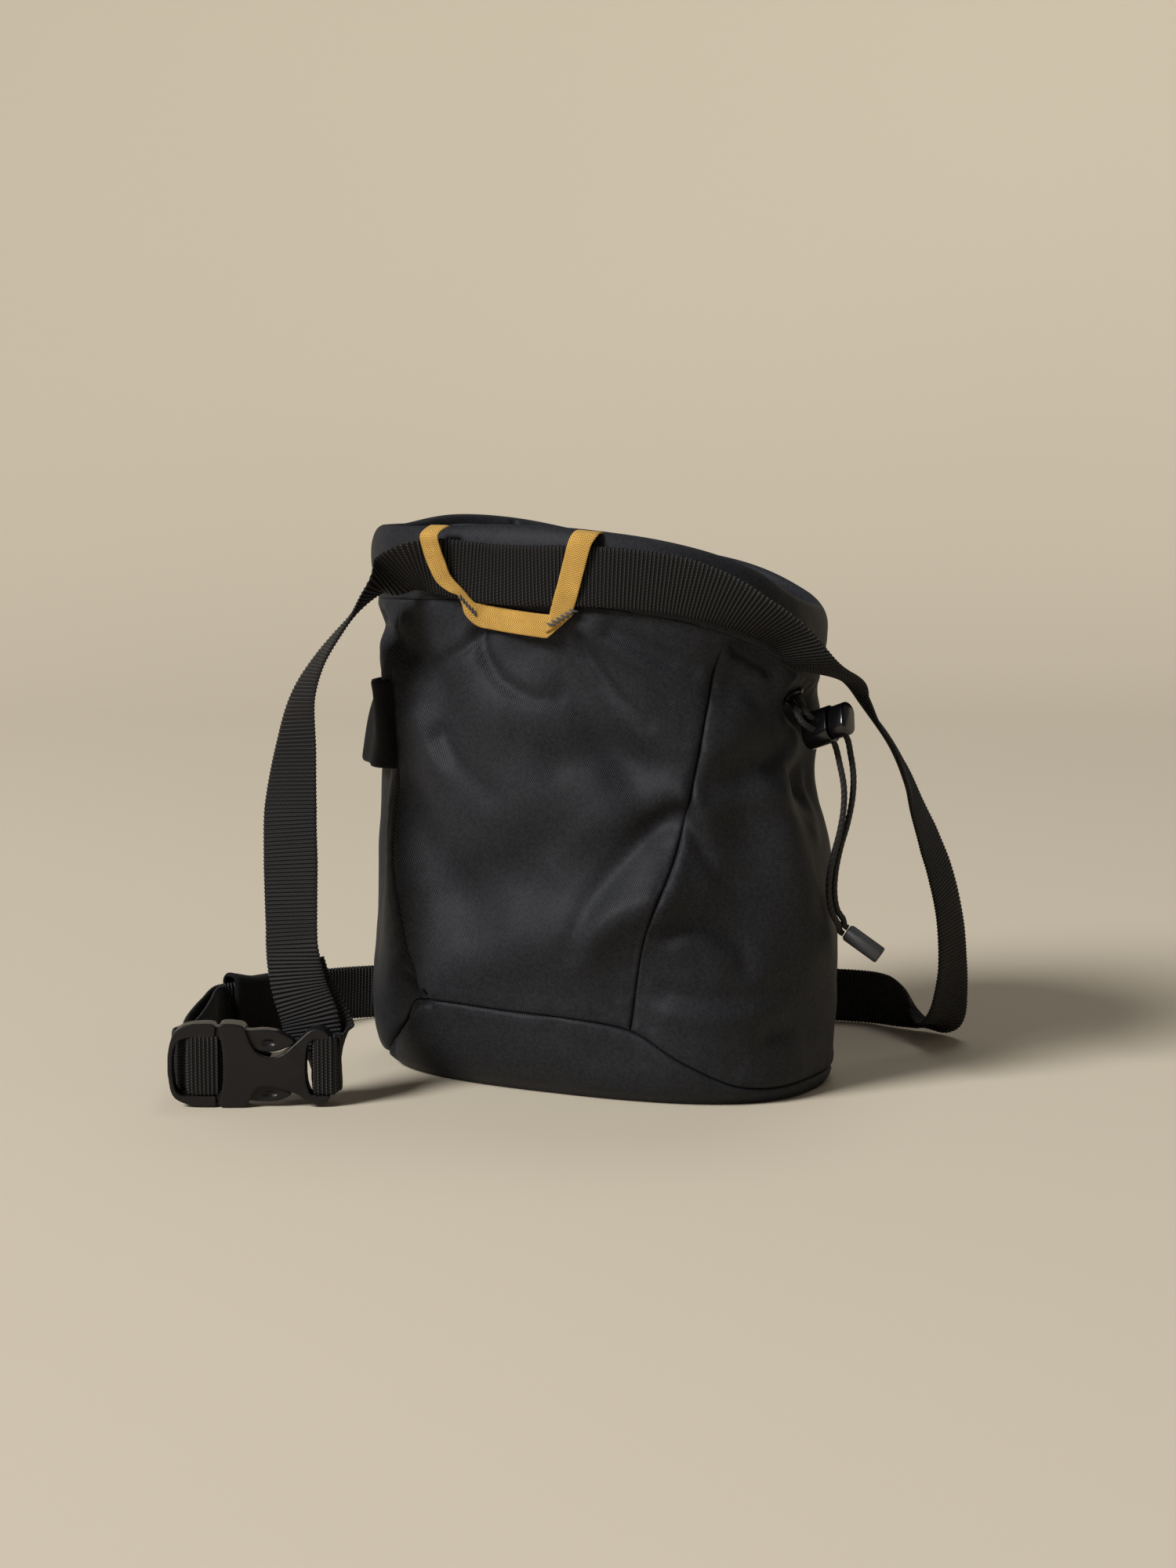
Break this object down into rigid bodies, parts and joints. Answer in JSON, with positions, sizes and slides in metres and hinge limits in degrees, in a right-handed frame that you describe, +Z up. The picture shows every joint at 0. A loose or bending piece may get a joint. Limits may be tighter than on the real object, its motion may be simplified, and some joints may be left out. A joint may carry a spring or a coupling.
{
  "type": "climbing chalk bag",
  "caption": "Upright soft chalk bag with a padded slanting rim, waist belt on a side-release buckle, brush loop, gold belt-loop tape and a drawcord with a cord lock.",
  "frame": {"origin": "middle of the bag's flat base, on the ground it stands on", "axes": "+Z up, -Y out of the bag's front panel, +X towards its right end, where the drawcord is"},
  "size_m": [0.2367, 0.2318, 0.185],
  "materials": {
    "cloth": "charcoal twill with a soft sheen",
    "collar_cloth": "charcoal twill over foam",
    "facing_tape": "black woven tape",
    "gold_tape": "ochre herringbone tape, matt",
    "thread": "dark grey sewing thread",
    "webbing": "black ribbed webbing, matt",
    "elastic": "black woven elastic",
    "cord": "black braided cord",
    "eyelet_metal": "blackened metal, satin",
    "gloss_plastic": "black, glossy",
    "rubber": "dark grey moulded end, satin",
    "buckle_plastic": "black moulded, satin"
  },
  "bodies": {
    "root": {"front_panel": "cloth", "side_panel_right": "cloth", "back_panel": "cloth", "side_panel_left": "cloth", "base_panel": "cloth", "collar": "collar_cloth", "rim_facing": "facing_tape", "loop_tape": "gold_tape", "bar_tack_left": "thread", "bar_tack_right": "thread", "belt": "webbing", "belt_keeper": "elastic", "brush_loop": "elastic", "cord_eyelet": "eyelet_metal", "drawcord_front": "cord", "drawcord_back": "cord", "cord_lock": "gloss_plastic", "cord_lock_button": "gloss_plastic", "cord_end": "rubber", "buckle_socket": "buckle_plastic", "buckle_frame": "buckle_plastic"}
  },
  "joints": []
}
